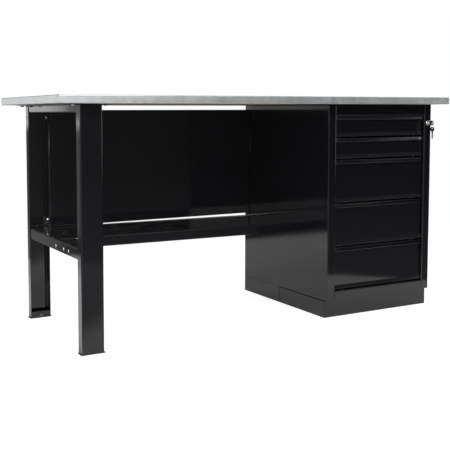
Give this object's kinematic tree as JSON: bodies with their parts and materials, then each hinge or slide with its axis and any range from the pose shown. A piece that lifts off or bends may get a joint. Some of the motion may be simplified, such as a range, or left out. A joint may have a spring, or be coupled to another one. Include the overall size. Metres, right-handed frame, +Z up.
{
  "type": "workbench with drawers",
  "caption": "Steel workbench: sheet-clad worktop on a leg frame with a shelf and back panel, and a lockable drawer cabinet on a plinth.",
  "frame": {"origin": "on the floor below the middle of the worktop", "axes": "+X along the bench towards the cabinet, +Y from the front to the back, +Z up"},
  "size_m": [1.67, 0.65, 0.86],
  "materials": {
    "black_coat": "glossy black powder coat",
    "worktop_sheet": "galvanised sheet, satin",
    "board": "raw particle board",
    "zinc_sheet": "zinc-plated, satin",
    "fastener": "zinc-plated",
    "lock_metal": "polished nickel",
    "key_bow": "matte black bow, steel blade"
  },
  "bodies": {
    "frame": {"worktop_board": "board", "worktop_skin": "worktop_sheet", "front_leg": "black_coat", "rear_leg": "black_coat", "top_crossbar": "black_coat", "lower_crossbar": "black_coat", "worktop_screw_left_front": "fastener", "worktop_screw_left_rear": "fastener", "worktop_screw_right_front": "fastener", "worktop_screw_right_rear": "fastener", "front_foot": "black_coat", "front_foot_bolt": "fastener", "rear_foot": "black_coat", "rear_foot_bolt": "fastener", "shelf": "black_coat", "back_panel": "black_coat", "panel_bolt_lower": "fastener", "panel_bolt_upper": "fastener", "cabinet_shell": "black_coat", "cabinet_top": "black_coat", "cabinet_base": "black_coat", "upright_left_front": "zinc_sheet", "upright_left_rear": "zinc_sheet", "upright_right_front": "zinc_sheet", "upright_right_rear": "zinc_sheet", "plinth_front": "black_coat", "plinth_rear": "black_coat", "runner_1_left": "zinc_sheet", "runner_1_right": "zinc_sheet", "runner_2_left": "zinc_sheet", "runner_2_right": "zinc_sheet", "runner_3_left": "zinc_sheet", "runner_3_right": "zinc_sheet", "runner_4_left": "zinc_sheet", "runner_4_right": "zinc_sheet", "runner_5_left": "zinc_sheet", "runner_5_right": "zinc_sheet", "lock_housing": "lock_metal", "lock_bar_guide_lower": "zinc_sheet", "lock_bar_guide_upper": "zinc_sheet"},
    "drawer_1": {"drawer_1_front": "black_coat", "drawer_1_tray": "zinc_sheet", "drawer_1_catch": "zinc_sheet"},
    "drawer_2": {"drawer_2_front": "black_coat", "drawer_2_tray": "zinc_sheet", "drawer_2_catch": "zinc_sheet"},
    "drawer_3": {"drawer_3_front": "black_coat", "drawer_3_tray": "zinc_sheet", "drawer_3_catch": "zinc_sheet"},
    "drawer_4": {"drawer_4_front": "black_coat", "drawer_4_tray": "zinc_sheet", "drawer_4_catch": "zinc_sheet"},
    "drawer_5": {"drawer_5_front": "black_coat", "drawer_5_tray": "zinc_sheet", "drawer_5_catch": "zinc_sheet"},
    "lock_plug": {"lock_plug": "lock_metal", "key": "key_bow"},
    "lock_bar": {"lock_bar": "zinc_sheet"},
    "hanging_key": {"key_ring": "lock_metal", "spare_key": "key_bow"}
  },
  "joints": [
    {"name": "drawer_1_slide", "type": "slide", "parent": "frame", "child": "drawer_1", "axis": [0, -1, 0], "range_m": [0, 0.4]},
    {"name": "drawer_2_slide", "type": "slide", "parent": "frame", "child": "drawer_2", "axis": [0, -1, 0], "range_m": [0, 0.4]},
    {"name": "drawer_3_slide", "type": "slide", "parent": "frame", "child": "drawer_3", "axis": [0, -1, 0], "range_m": [0, 0.4]},
    {"name": "drawer_4_slide", "type": "slide", "parent": "frame", "child": "drawer_4", "axis": [0, -1, 0], "range_m": [0, 0.4]},
    {"name": "drawer_5_slide", "type": "slide", "parent": "frame", "child": "drawer_5", "axis": [0, -1, 0], "range_m": [0, 0.4]},
    {"name": "lock_turn", "type": "hinge", "parent": "frame", "child": "lock_plug", "pos_m": [0.783, -0.263, 0.756], "axis": [0, -1, 0], "range_deg": [0, 90]},
    {"name": "lock_bar_shift", "type": "slide", "parent": "frame", "child": "lock_bar", "axis": [-1, 0, 0], "range_m": [0, 0.008]},
    {"name": "spare_key_swing", "type": "hinge", "parent": "lock_plug", "child": "hanging_key", "pos_m": [0.783, -0.2885, 0.7458], "axis": [0, 1, 0], "range_deg": [-30, 30]}
  ],
  "couplings": [
    {"joint": "lock_turn", "follows": "lock_bar_shift", "rad_per_m": 196.34}
  ]
}
